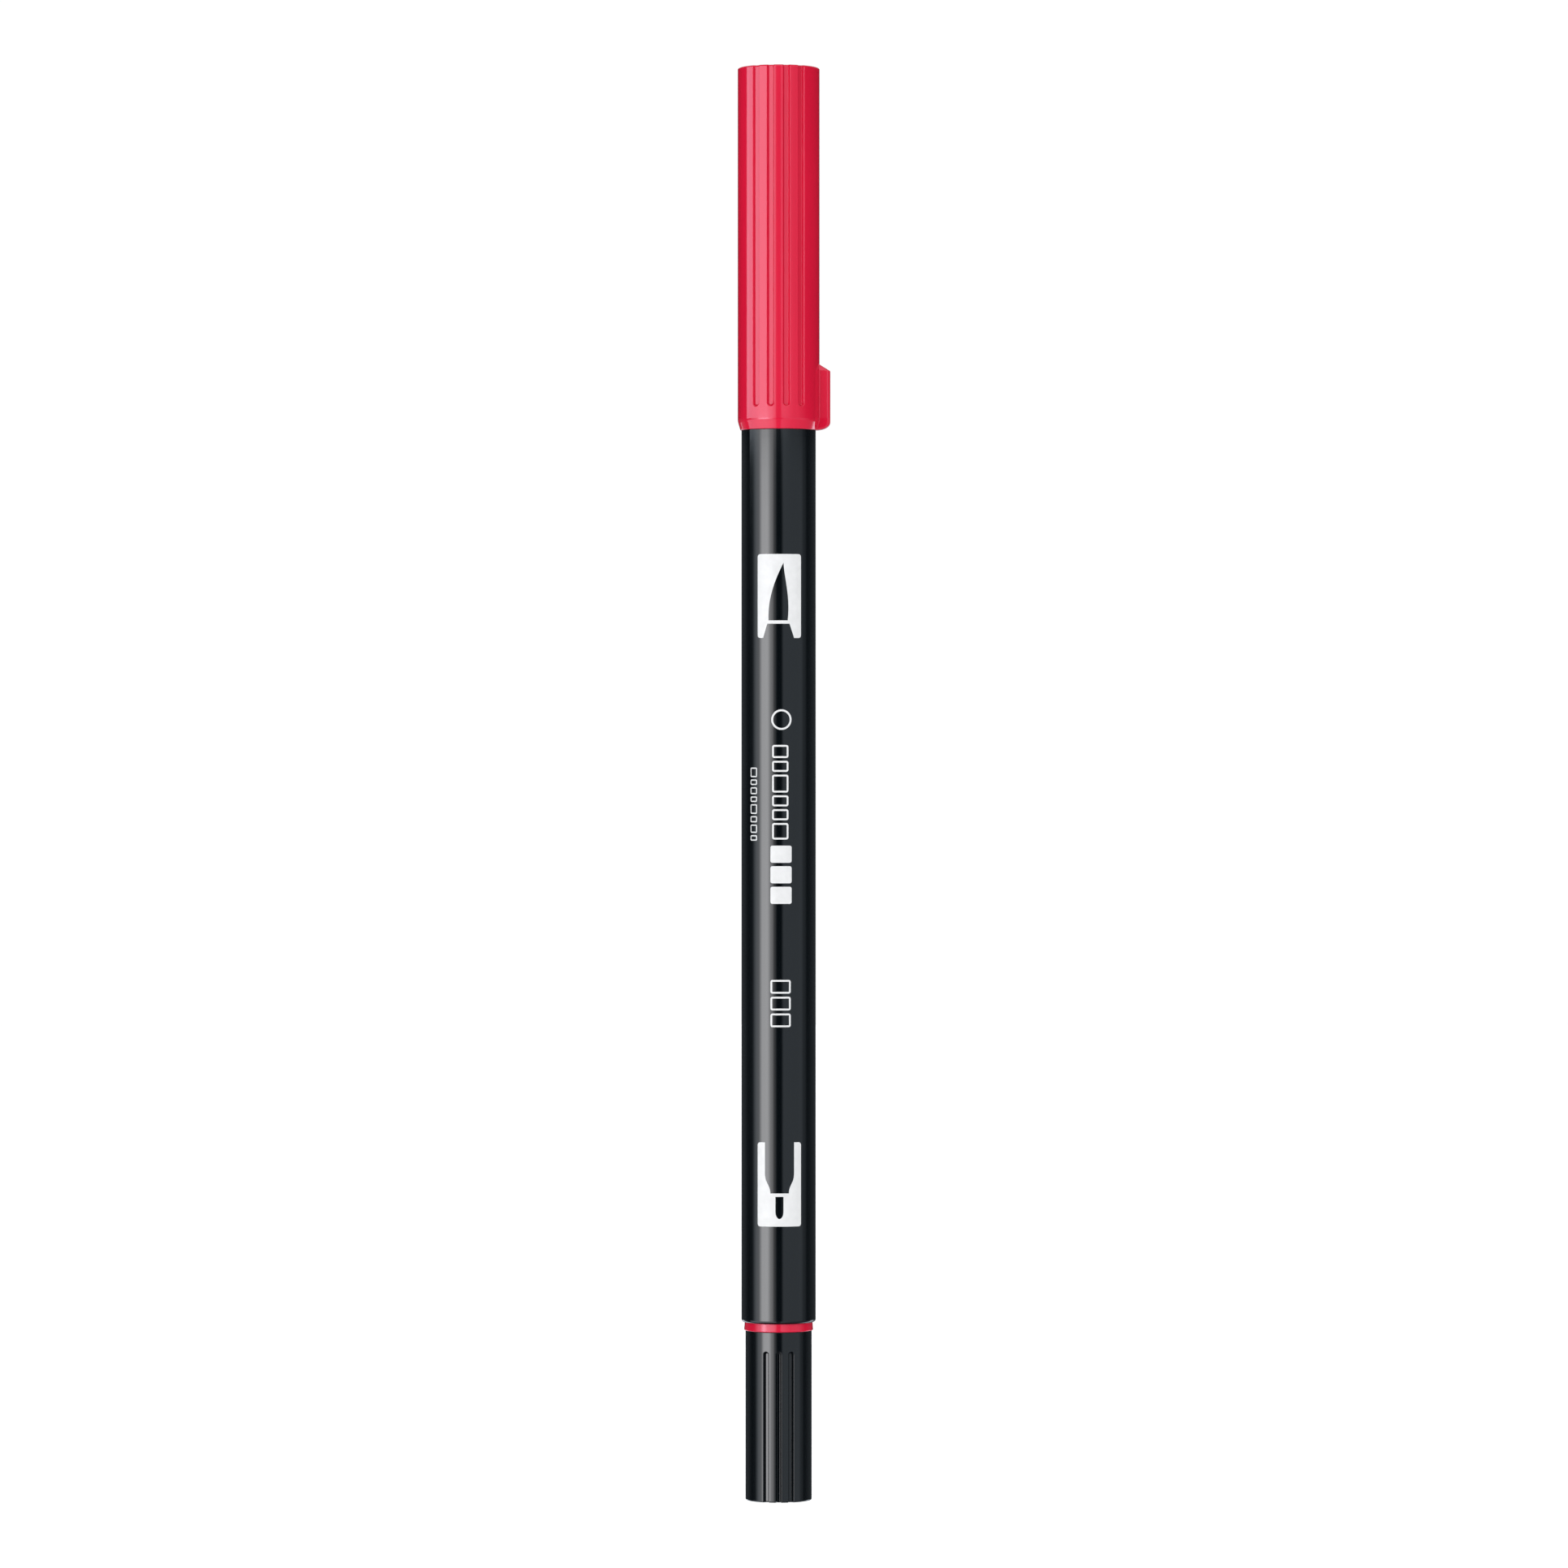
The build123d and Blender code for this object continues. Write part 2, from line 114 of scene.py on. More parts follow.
def rounded(corners, closed=False):
    """Points along an outline whose corners are (x, y) or (x, y, fillet radius).

    A point close to each end of a fillet keeps the shading of the straight beside it flat.
    """
    points = []
    last = len(corners) - 1
    for i, corner in enumerate(corners):
        at = Vector(corner[:2])
        radius = corner[2] if len(corner) == 3 else 0
        if radius == 0 or (not closed and i in (0, last)):
            points.append(tuple(at))
            continue
        back = (Vector(corners[i - 1][:2]) - at).normalized()
        on = (Vector(corners[(i + 1) % len(corners)][:2]) - at).normalized()
        half = back.angle(on) / 2
        centre = at + (back + on).normalized() * radius / sin(half)
        reach = radius / tan(half)
        start = at + back * reach - centre
        turn = (pi - 2 * half) * (1 if back.x * on.y - back.y * on.x < 0 else -1)
        count = max(2, ceil(abs(turn) / ARC_STEP))
        points.append(tuple(at + back * (reach + SUPPORT * radius)))
        for k in range(count + 1):
            points.append(tuple(centre + Matrix.Rotation(turn * k / count, 2) @ start))
        points.append(tuple(at + on * (reach + SUPPORT * radius)))
    return points


def curve_points(start, handle_a, handle_b, end, count=12):
    """Points along one Bezier span."""
    ends = [Vector((*p, 0)) for p in (start, handle_a, handle_b, end)]
    return [(p.x, p.y) for p in interpolate_bezier(*ends, count)]


def at_height(outline, x):
    """The y at x on an outline of (x, y) points in ascending x, held level past its ends."""
    if x <= outline[0][0]:
        return outline[0][1]
    for (x0, y0), (x1, y1) in zip(outline, outline[1:]):
        if x <= x1:
            return y0 + (y1 - y0) * (x - x0) / (x1 - x0)
    return outline[-1][1]


class Skin:
    """Vertices in millimetres and the faces between rows of them."""

    def __init__(self):
        self.points = []
        self.faces = []

    def row(self, points):
        """Adds a row of points and returns their numbers."""
        first = len(self.points)
        self.points += [tuple(p) for p in points]
        return list(range(first, len(self.points)))

    def between(self, row_a, row_b, closed=False):
        """Faces between two rows of one length, or between a row and a single point."""
        count = max(len(row_a), len(row_b))
        for i in range(count if closed else count - 1):
            k = (i + 1) % count
            near = [row_a[i], row_a[k]] if len(row_a) > 1 else row_a
            far = [row_b[k], row_b[i]] if len(row_b) > 1 else row_b
            self.faces.append(near + far)

    def sheet(self, rows, closed=False):
        """Faces over a run of rows of points."""
        numbers = [self.row(points) for points in rows]
        for row_a, row_b in zip(numbers, numbers[1:]):
            self.between(row_a, row_b, closed)
        return numbers

    def mesh(self, name):
        """The finished mesh in metres, with points that coincide joined."""
        mesh = bpy.data.meshes.new(name)
        mesh.from_pydata([tuple(c * MM for c in p) for p in self.points], [], self.faces)
        bm = bmesh.new()
        bm.from_mesh(mesh)
        bmesh.ops.remove_doubles(bm, verts=bm.verts, dist=JOIN_GAP * MM)
        bmesh.ops.recalc_face_normals(bm, faces=bm.faces)
        bm.to_mesh(mesh)
        bm.free()
        return mesh


def true_round(mesh, radius):
    """Gives every point at a radius from the pen's axis its exact outward normal."""
    normals = []
    for vertex in mesh.vertices:
        x, y = vertex.co.x, vertex.co.y
        on_round = abs(hypot(x, y) - radius * MM) < ON_ROUND * MM
        normals.append((x, y, 0) if on_round else (0, 0, 0))
    mesh.normals_split_custom_set_from_vertices([Vector(n).normalized() for n in normals])


def add_piece(mesh, body, material, replaces=(), sharp=40, round_land=None):
    """Puts a mesh in the scene as a piece of the pen that rides on a body."""
    for polygon in mesh.polygons:
        polygon.use_smooth = True
    mesh.set_sharp_from_angle(angle=radians(sharp))
    if round_land:
        true_round(mesh, round_land)
    piece = bpy.data.objects.new(mesh.name, mesh)
    bpy.context.scene.collection.objects.link(piece)
    mesh.materials.append(material)
    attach(piece, body)
    if replaces:
        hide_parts(*replaces)
    return piece


def turned(name, profile, segments=SEGMENTS, closed=True):
    """A body turned about the pen's axis from (radius, height) points."""
    skin = Skin()
    rows = []
    for radius, z in profile:
        count = segments if radius > ON_AXIS else 1
        turns = [2 * pi * i / segments for i in range(count)]
        rows.append(skin.row((radius * cos(a), radius * sin(a), z) for a in turns))
    if closed:
        rows.append(rows[0])
    for row_a, row_b in zip(rows, rows[1:]):
        if len(row_a) > 1 or len(row_b) > 1:
            skin.between(row_a, row_b, closed=True)
    return skin.mesh(name)


# ---------------------------------------------------------------------------------------------------------
# Materials
# ---------------------------------------------------------------------------------------------------------

class Shader:
    """A procedural material: a Principled shader and its nodes, in the pen's own coordinates."""

    def __init__(self, name, **values):
        self.material = bpy.data.materials.new(name)
        self.material.use_nodes = True
        self.nodes = self.material.node_tree.nodes
        self.links = self.material.node_tree.links
        self.shader = self.nodes["Principled BSDF"]
        self.place = self.nodes.new("ShaderNodeTexCoord").outputs["Object"]
        for socket, value in values.items():
            self.shader.inputs[socket.replace("_", " ")].default_value = value

    def noise(self, scale, stretch=(1, 1, 1), detail=3.0, roughness=0.5):
        """Noise with scale features per metre, squeezed by stretch along each axis."""
        mapping = self.nodes.new("ShaderNodeMapping")
        mapping.inputs["Scale"].default_value = stretch
        self.links.new(self.place, mapping.inputs["Vector"])
        noise = self.nodes.new("ShaderNodeTexNoise")
        noise.inputs["Scale"].default_value = scale
        noise.inputs["Detail"].default_value = detail
        noise.inputs["Roughness"].default_value = roughness
        self.links.new(mapping.outputs["Vector"], noise.inputs["Vector"])
        return noise.outputs["Fac"]

    def spread(self, value, low, high, start=0.35, end=0.65):
        """A value between start and end, spread to the range from low to high."""
        node = self.nodes.new("ShaderNodeMapRange")
        for socket, number in (("From Min", start), ("From Max", end), ("To Min", low), ("To Max", high)):
            node.inputs[socket].default_value = number
        self.links.new(value, node.inputs["Value"])
        return node.outputs["Result"]

    def blend_colours(self, value, colour_a, colour_b):
        """Feeds the base colour with two colours mixed by a value."""
        node = self.nodes.new("ShaderNodeMix")
        node.data_type = "RGBA"
        colour_in = [socket for socket in node.inputs if socket.type == "RGBA"]
        for socket, colour in zip(colour_in, (colour_a, colour_b)):
            socket.default_value = (*colour, 1)
        self.links.new(value, node.inputs["Factor"])
        blended = [socket for socket in node.outputs if socket.type == "RGBA"]
        self.feed(blended[0], "Base Color")

    def feed(self, value, socket):
        """Links a value to one of the shader's sockets."""
        self.links.new(value, self.shader.inputs[socket])

    def bump(self, value, height_mm):
        """Adds relief of the given height to what the shader's normal already has."""
        node = self.nodes.new("ShaderNodeBump")
        node.inputs["Distance"].default_value = height_mm * MM
        self.links.new(value, node.inputs["Height"])
        normal = self.shader.inputs["Normal"]
        if normal.links:
            self.links.new(normal.links[0].from_socket, node.inputs["Normal"])
        self.links.new(node.outputs["Normal"], normal)


def gloss_plastic(name, colour_a, colour_b, roughness, **values):
    """Polished moulded plastic: faint flow in the colour, and haze and hairline scratches in the gloss."""
    plastic = Shader(name, **values)
    plastic.blend_colours(plastic.spread(plastic.noise(120, (1, 1, 0.25)), 0, 1), colour_a, colour_b)
    haze = plastic.noise(260, (1, 1, 0.4), detail=6, roughness=0.6)
    plastic.feed(plastic.spread(haze, roughness * 0.85, roughness * 1.25), "Roughness")
    plastic.bump(plastic.noise(700, detail=1), 0.0004)
    plastic.bump(plastic.noise(2600, (1, 1, 0.02), detail=2), 0.00015)
    return plastic.material


def satin_plastic(name, colour_a, colour_b, roughness=0.42):
    """Unpolished moulded plastic with a fine spark-eroded grain."""
    plastic = Shader(name, IOR=1.5)
    plastic.blend_colours(plastic.spread(plastic.noise(300), 0, 1), colour_a, colour_b)
    plastic.feed(plastic.spread(plastic.noise(700), roughness - 0.05, roughness + 0.06), "Roughness")
    plastic.bump(plastic.noise(9000, detail=4), 0.006)
    return plastic.material


def milky_plastic(name):
    """Natural polyethylene, slightly see-through."""
    plastic = Shader(name, IOR=1.5, Subsurface_Weight=0.35, Subsurface_Scale=0.002)
    plastic.blend_colours(plastic.spread(plastic.noise(200), 0, 1), (0.74, 0.74, 0.71), (0.80, 0.80, 0.77))
    plastic.feed(plastic.spread(plastic.noise(500), 0.32, 0.42), "Roughness")
    plastic.bump(plastic.noise(3000), 0.003)
    return plastic.material


def fibre(name, colour_a, colour_b, roughness=0.6):
    """Bonded fibres that run along the pen, with painted shade making them darker in the valleys between
    them.
    """
    bundle = Shader(name, IOR=1.45, Sheen_Weight=0.15, Sheen_Roughness=0.5)
    strands_and_valley_shade = bundle.noise(5200, (1, 1, 0.03), detail=3, roughness=0.6)
    # Painted shade: the base colour goes dark wherever the strands' bump dips, in the valleys between fibres
    bundle.blend_colours(bundle.spread(strands_and_valley_shade, 0, 1), colour_a, colour_b)
    bundle.feed(bundle.spread(strands_and_valley_shade, roughness + 0.1, roughness - 0.1), "Roughness")
    bundle.bump(strands_and_valley_shade, 0.05)
    return bundle.material


def printed_ink(name):
    """Pad-printed white ink: a thin, slightly uneven, satin coat."""
    ink = Shader(name, IOR=1.48)
    ink.blend_colours(ink.spread(ink.noise(800, detail=5), 0, 1), (0.69, 0.695, 0.70), (0.74, 0.745, 0.75))
    ink.feed(ink.spread(ink.noise(1500), 0.28, 0.36), "Roughness")
    ink.bump(ink.noise(4000, detail=3), 0.002)
    return ink.material


def clear_film(name):
    """Clear wrapping film with faint creases."""
    film = Shader(name, Base_Color=(0.95, 0.96, 0.97, 1), Alpha=0.25, IOR=1.5)
    film.feed(film.spread(film.noise(300, (1, 1, 0.2)), 0.08, 0.2), "Roughness")
    film.bump(film.noise(500, (1, 1, 0.15)), 0.02)
    return film.material


BLACK = gloss_plastic("black_plastic", (0.0022, 0.0034, 0.0046), (0.0028, 0.0042, 0.0054), 0.05, IOR=1.5)
RED = gloss_plastic("red_plastic", (0.60, 0.0080, 0.036), (0.64, 0.0095, 0.040), 0.035, IOR=1.55,
                    Specular_Tint=(1.0, 0.83, 1.0, 1))
SECTION_BLACK = satin_plastic("section_plastic", (0.010, 0.011, 0.012), (0.014, 0.015, 0.016))
LINER_WHITE = milky_plastic("liner_plastic")
PRINT_WHITE = printed_ink("print_white")
BRUSH_FIBRE = fibre("brush_fibre", (0.30, 0.006, 0.018), (0.52, 0.012, 0.035))
NIB_RED = fibre("nib_plastic", (0.42, 0.02, 0.04), (0.62, 0.06, 0.09), roughness=0.45)
RESERVOIR_FIBRE = fibre("reservoir_fibre", (0.5, 0.02, 0.05), (0.75, 0.10, 0.14))
CLEAR_FILM = clear_film("clear_film")


# ---------------------------------------------------------------------------------------------------------
# Fluted caps
# ---------------------------------------------------------------------------------------------------------

# Flutes: half of each pitch is flute and half is land. The walls lean back by the draft.
FLUTE_PITCH = radians(22.5)
FLUTE_EDGE_R = 0.10
FLUTE_FLOOR_R = 0.10
FLUTE_DRAFT = 0.22
FLUTE_EASE = 0.05
FLOOR_SHARE = 0.75      # how far in from its edge a flute's outline starts, as a share of its half width
FLUTE_ARC_STEPS = 24

# The square patch of land round each flute, and the plain land beside the flutes
CORNER_STEPS = FLUTE_ARC_STEPS // 4
CORNER_DROP = 1.3       # how far the patch reaches past the round end's centre, in its half widths
SIDE_STEP = radians(1.9)
LENGTH_STEPS = 12
RIM_FILLET = 0.2
RIM_STEPS = 5

# The anti-roll lug: t is the distance from the cap's mouth
LUG_HALF = 1.2
LUG_EDGE_R = 0.45
LUG_EDGE_STEPS = 9
LUG_ROOT_R = 0.14
LUG_ROOT_STEPS = 6
LUG_DRAFT = 0.03
LUG_SUPPORT = 0.05
LUG_FLAT = 0.3
LUG_FOOT_T = 1.1
LUG_FOOT_STEPS = 12
LUG_SHOULDER_T = 8.65
LUG_TOP_T = 9.65
LUG_FILLET = 0.2

# The closed end: radii of the face's rings, and how deep each sits in the gate mark
END_CLEARANCE = 0.25
END_RINGS = ((2.2, 0), (0.75, 0), (0.65, 0.05), (0.6, 0.12), (0.3, 0.12))
GATE_DEPTH = 0.12


class Cap:
    """One fluted cap, described by distance t from its mouth along the pen."""

    def __init__(self, radius, mouth_z, end_z, flutes, depth, flute_t, mouth, bore, lug=False):
        self.radius = radius
        self.mouth_z = mouth_z
        self.length = abs(end_z - mouth_z)
        self.way = 1 if end_z > mouth_z else -1
        self.flutes = flutes
        self.depth = depth
        self.half = radius * FLUTE_PITCH / 4
        self.patch_half = radius * FLUTE_PITCH / 2
        self.arc_t = flute_t + self.half
        self.plain_t = self.arc_t - CORNER_DROP * self.patch_half
        self.mouth = mouth
        self.bore = bore
        self.lug_outline = self.lug_side() if lug else []
        self.skin = Skin()

    def lug_side(self):
        """The lug's outline, as (t, distance from the axis) points from the mouth up."""
        mouth_r = self.mouth[0][1]
        outline = []
        for step in range(LUG_FOOT_STEPS):
            rise = sin(pi / 2 * step / LUG_FOOT_STEPS)
            outline.append((LUG_FOOT_T * (1 - sqrt(1 - rise * rise)), mouth_r + (LUG_X - mouth_r) * rise))
        return outline + rounded([
            (LUG_FOOT_T, LUG_X), (LUG_SHOULDER_T, LUG_X, LUG_FILLET), (LUG_TOP_T, self.radius, LUG_FILLET),
            (LUG_TOP_T + 1, self.radius),
        ])

    def spot(self, x, y, t, angle, inset=0.0):
        """A point x outward and y round from an angle's direction, drawn in by inset."""
        shrink = 1 - inset / hypot(x, y)
        x, y = x * shrink, y * shrink
        z = self.mouth_z + self.way * t
        return (x * cos(angle) - y * sin(angle), x * sin(angle) + y * cos(angle), z)

    def across(self):
        """The flute's cross section from its floor out: (offset from its edge, height above the floor)."""
        margin = self.patch_half - self.half
        return rounded([
            (-FLOOR_SHARE * self.half, 0), (-FLUTE_DRAFT - FLUTE_EASE, 0, FLUTE_FLOOR_R),
            (-FLUTE_EASE, self.depth, FLUTE_EDGE_R), (margin / 3, self.depth), (2 * margin / 3, self.depth),
            (margin, self.depth),
        ])

    def flute_spot(self, lateral, t, height, angle, inset=0.0):
        """A point of a flute, lateral millimetres round from its middle: flat on the floor, round above."""
        turn = lateral / self.radius
        on_floor = height < self.depth / 2
        x = self.radius - self.depth + height if on_floor else self.radius * cos(turn) - self.depth + height
        return self.spot(x, self.radius * sin(turn), t, angle, inset)

    def upper_rows(self):
        """(t, inset) of the rows from the flutes' round ends up over the rim."""
        top = self.length - RIM_FILLET
        marks = [t for t, _ in self.lug_outline if self.arc_t < t < top]
        start = max(marks, default=self.arc_t)
        marks += [start + (top - start) * k / LENGTH_STEPS for k in range(1, LENGTH_STEPS)]
        marks += [top - SUPPORT * RIM_FILLET, top]
        rows = [(t, 0.0) for t in [self.arc_t, *marks]]
        for step in range(1, RIM_STEPS + 1):
            a = pi / 2 * step / RIM_STEPS
            rows.append((top + RIM_FILLET * sin(a), RIM_FILLET * (1 - cos(a))))
        return rows

    def flute(self, angle):
        """One flute and the land round it. Returns the outline of its open end."""
        rows = self.upper_rows()
        lines = []
        tops = []
        for offset, height in self.across():
            reach = self.half + offset
            left = [self.flute_spot(-reach, t, height, angle, inset) for t, inset in rows]
            right = [self.flute_spot(reach, t, height, angle, inset) for t, inset in rows]
            bend = []
            for step in range(1, FLUTE_ARC_STEPS):
                a = pi * step / FLUTE_ARC_STEPS
                lateral, t = -reach * cos(a), self.arc_t - reach * sin(a)
                bend.append(self.flute_spot(lateral, t, height, angle))
            lines.append(left[::-1] + bend + right)
            tops.append((left[-1], right[-1]))
        numbers = self.skin.sheet(lines)
        inner = numbers[0]
        count = len(rows)
        for i in range(count - 1):
            self.skin.faces.append([inner[i], inner[i + 1], inner[-i - 2], inner[-i - 1]])
        self.skin.faces.append(inner[count - 1:len(inner) - count + 1])
        self.corner(angle)
        return [left for left, _ in reversed(tops)] + [right for _, right in tops]

    def corner(self, angle):
        """The land between a flute's round end and the square bottom of its patch."""
        edge = self.patch_half
        drop = self.arc_t - self.plain_t
        curve = []
        frame_line = []
        for step in range(FLUTE_ARC_STEPS + 1):
            a = pi * step / FLUTE_ARC_STEPS
            curve.append(self.flute_spot(-edge * cos(a), self.arc_t - edge * sin(a), self.depth, angle))
            side = min(step, FLUTE_ARC_STEPS - step, CORNER_STEPS) / CORNER_STEPS
            along = min(max(step - CORNER_STEPS, 0), 2 * CORNER_STEPS) / CORNER_STEPS - 1
            frame_line.append(self.flute_spot(edge * along, self.arc_t - drop * side, self.depth, angle))
        self.skin.sheet([curve, frame_line])

    def lug_columns(self):
        """(distance round from the lug's middle, share of its height) over half of the lug's width."""
        full = LUG_X - self.radius
        flat = LUG_HALF - LUG_EDGE_R
        foot = LUG_HALF + LUG_DRAFT
        across = [(0.0, 1.0), (flat / 2, 1.0), (flat - LUG_SUPPORT, 1.0)]
        for step in range(LUG_EDGE_STEPS + 1):
            a = pi / 2 * step / LUG_EDGE_STEPS
            across.append((flat + LUG_EDGE_R * sin(a), 1 - LUG_EDGE_R * (1 - cos(a)) / full))
        across.append((LUG_HALF + LUG_DRAFT / 10, 1 - (LUG_EDGE_R + LUG_SUPPORT) / full))
        across.append((foot - LUG_DRAFT / 10, (LUG_ROOT_R + LUG_SUPPORT) / full))
        for step in range(LUG_ROOT_STEPS + 1):
            a = pi / 2 * step / LUG_ROOT_STEPS
            across.append((foot + LUG_ROOT_R * (1 - cos(a)), LUG_ROOT_R * (1 - sin(a)) / full))
        across.append((foot + LUG_ROOT_R + LUG_SUPPORT, 0.0))
        return across

    def side_columns(self, width, with_lug):
        """(angle from the side's middle, share of the lug's height) across a plain side."""
        shares = {0.0: 0.0}
        if with_lug:
            shares = {asin(y / self.radius): share for y, share in self.lug_columns()}
        start = max(shares)
        count = ceil((width / 2 - start) / SIDE_STEP)
        for k in range(1, count + 1):
            shares[start + (width / 2 - start) * k / count] = 0.0
        right = sorted(shares.items())
        left = [(-a, share) for a, share in reversed(right) if a > 0]
        return left + right

    def land_spot(self, radius, t, angle, share, inset=0.0):
        """A point of the plain land, raised where the lug is. angle is from the +X side's middle."""
        height = max(0.0, at_height(self.lug_outline, t) - radius) * share if share else 0.0
        flat = min(1, height / LUG_FLAT) * share * radius * (1 - cos(angle)) if share else 0.0
        return self.spot(radius * cos(angle) + height + flat, radius * sin(angle), t, 0.0, inset)

    def build(self, name):
        """The whole cap as one closed mesh."""
        group = self.flutes * FLUTE_PITCH
        side = pi - group
        drop = self.arc_t - self.plain_t
        rows = [(self.plain_t + drop * k / CORNER_STEPS, 0.0) for k in range(CORNER_STEPS)]
        rows += self.upper_rows()
        columns = []
        top = []
        for middle, turned_side in ((0.0, FRONT), (pi, BACK)):
            plain = self.side_columns(side, bool(self.lug_outline) and middle == 0.0)
            wall = [
                [self.land_spot(self.radius, t, middle + a, share, inset) for a, share in plain]
                for t, inset in rows
            ]
            self.skin.sheet(wall)
            columns += [(middle + a, share) for a, share in plain[:-1]]
            top += wall[-1][:-1]
            for k in range(self.flutes):
                angle = middle + pi / 2 + (k - (self.flutes - 1) / 2) * FLUTE_PITCH
                top += self.flute(angle)[:-1]
                for step in range(2 * CORNER_STEPS):
                    columns.append((angle + FLUTE_PITCH / 2 * (step / CORNER_STEPS - 1), 0.0))
        self.mouth_and_bore(columns)
        self.end_face(top)
        return self.skin.mesh(name)

    def mouth_and_bore(self, columns):
        """The plain band at the mouth, the mouth's edge, and the bore down to its end wall."""
        marks = {t for t, _ in self.mouth} | {t for t, _ in self.lug_outline if t < self.plain_t}
        band = [(t, at_height(self.mouth, t)) for t in sorted(marks | {self.plain_t}) if t <= self.plain_t]
        rings = [[self.land_spot(r, t, a, share) for a, share in columns] for t, r in reversed(band)]
        for r, t in self.bore:
            turns = columns if r > 0 else columns[:1]
            rings.append([self.spot(max(r, TINY), 0.0, t, a) for a, _ in turns])
        self.skin.sheet(rings, closed=True)

    def end_face(self, top):
        """The flat end, from the rim's outline in to a small gate mark in the middle."""
        numbers = [self.skin.row(top)]
        clear = self.radius - self.depth - RIM_FILLET - END_CLEARANCE
        for radius, sunk in ((clear, 0), *END_RINGS):
            ring = []
            for x, y, _ in top:
                scale = radius / hypot(x, y)
                ring.append((x * scale, y * scale, self.mouth_z + self.way * (self.length - sunk)))
            numbers.append(self.skin.row(ring))
        numbers.append(self.skin.row([(0, 0, self.mouth_z + self.way * (self.length - GATE_DEPTH))]))
        for row_a, row_b in zip(numbers, numbers[1:]):
            self.skin.between(row_a, row_b, closed=True)


def cap_bore(mouth_r, step_t, inner_r, end_t):
    """A stepped bore as (radius, t) from the mouth to the middle of its end wall."""
    return [
        (mouth_r + 0.15, 0.0), (mouth_r, 0.3), (mouth_r, step_t), (inner_r, step_t + 0.1), (inner_r, end_t),
        (0, end_t),
    ]


BRUSH_FLUTES = 4
BRUSH_FLUTE_DEPTH = 0.40
BRUSH_FLUTE_T = 3.2
MOUTH_TAPER = 0.36      # how much narrower the brush cap is at its mouth
MOUTH_EDGE_R = 0.08
TAPER_T = 1.3
TAPER_FILLET = 1.6
TAPER_END_T = 3.0


def make_brush_cap():
    mouth_r = BRUSH_CAP_R - MOUTH_TAPER
    edge = [(0.0, mouth_r - MOUTH_EDGE_R), (0.025, mouth_r - 0.025), (MOUTH_EDGE_R, mouth_r)]
    taper = rounded([
        (MOUTH_EDGE_R, mouth_r), (TAPER_T, BRUSH_CAP_R, TAPER_FILLET), (TAPER_END_T, BRUSH_CAP_R),
    ])
    bore = cap_bore(mouth_r=4.79, step_t=10.6, inner_r=4.55, end_t=51.7)
    cap = Cap(BRUSH_CAP_R, BRUSH_MOUTH_Z, brush_high.z, BRUSH_FLUTES, BRUSH_FLUTE_DEPTH, BRUSH_FLUTE_T,
              edge + taper[1:], bore, lug=True)
    add_piece(cap.build("brush_cap_shell"), "brush_cap", RED, ["brush_cap"],
              round_land=BRUSH_CAP_R)


FINE_FLUTES = 3
FINE_FLUTE_DEPTH = 0.50
FINE_FLUTE_T = 2.8
FINE_EDGE_R = 0.1


def make_fine_cap():
    edge = [(FINE_CAP_R - FINE_EDGE_R, 0.0), (FINE_CAP_R, 0.0, FINE_EDGE_R), (FINE_CAP_R, 2.0)]
    mouth = [(t, r) for r, t in rounded(edge)]
    bore = cap_bore(mouth_r=3.83, step_t=8.6, inner_r=3.45, end_t=23.6)
    cap = Cap(FINE_CAP_R, FINE_MOUTH_Z, fine_low.z, FINE_FLUTES, FINE_FLUTE_DEPTH, FINE_FLUTE_T, mouth, bore)
    add_piece(cap.build("fine_cap_shell"), "fine_cap", BLACK, ["fine_cap"],
              round_land=FINE_CAP_R)


# ---------------------------------------------------------------------------------------------------------
# Barrel, ring, sections and nibs
# ---------------------------------------------------------------------------------------------------------

BARREL_BORE_R = 4.55
BARREL_LOW_FILLET = 0.42
NECK_R = 4.60
NECK_BORE_R = 3.85
NECK_BEAD = 0.14
NECK_BEAD_WIDTH = 1.6
FINE_NECK_R = 3.70
FINE_BEAD = 0.08
FINE_BEAD_WIDTH = 1.2
BEAD_STEPS = 6
RING_TAPER = 0.085
RING_CLEARANCE = 0.03


def bead(radius, z, height, width):
    """Points over a half-round bead, in ascending z."""
    steps = [k / BEAD_STEPS for k in range(BEAD_STEPS + 1)]
    return [(radius + height * sin(pi * s), z + width * (s - 0.5)) for s in steps]


def make_barrel():
    """The body tube: a rounded lower end, a shoulder under the brush cap, and a neck with a snap bead."""
    low = ring_high.z
    shoulder = BRUSH_MOUTH_Z
    neck_top = barrel_high.z
    outline = rounded([
        (BARREL_BORE_R, low + 5), (BARREL_BORE_R, low), (BARREL_R, low, BARREL_LOW_FILLET),
        (BARREL_R, shoulder, 0.08), (NECK_R, shoulder, 0.05), (NECK_R, shoulder + 4),
    ])
    outline += bead(NECK_R, shoulder + 5.0, NECK_BEAD, NECK_BEAD_WIDTH)
    outline += rounded([
        (NECK_R, neck_top - 2), (NECK_R, neck_top, 0.3), (NECK_BORE_R, neck_top),
        (NECK_BORE_R, shoulder + 0.3), (BARREL_BORE_R, shoulder - 1.6),
    ])
    add_piece(turned("barrel_shell", outline), "barrel", BLACK, ["barrel"])


def make_ring():
    """The coloured ring, slightly tapered towards the barrel."""
    inner = FINE_NECK_R + RING_CLEARANCE
    outline = rounded([
        (inner, ring_low.z), (RING_R, ring_low.z, 0.12), (RING_R - RING_TAPER, ring_high.z, 0.06),
        (inner, ring_high.z),
    ], closed=True)
    add_piece(turned("ring_band", outline), "barrel", RED, ["colour_ring"])


SECTION_BORE_R = 3.05
BRUSH_PLUG_R = 3.82
BRUSH_COLLAR_R = 4.35
BRUSH_HOLDER_R = 3.75
BRUSH_NOSE_R = 2.65
BRUSH_SOCKET_R = 2.13
BRUSH_STEM_R = 1.63


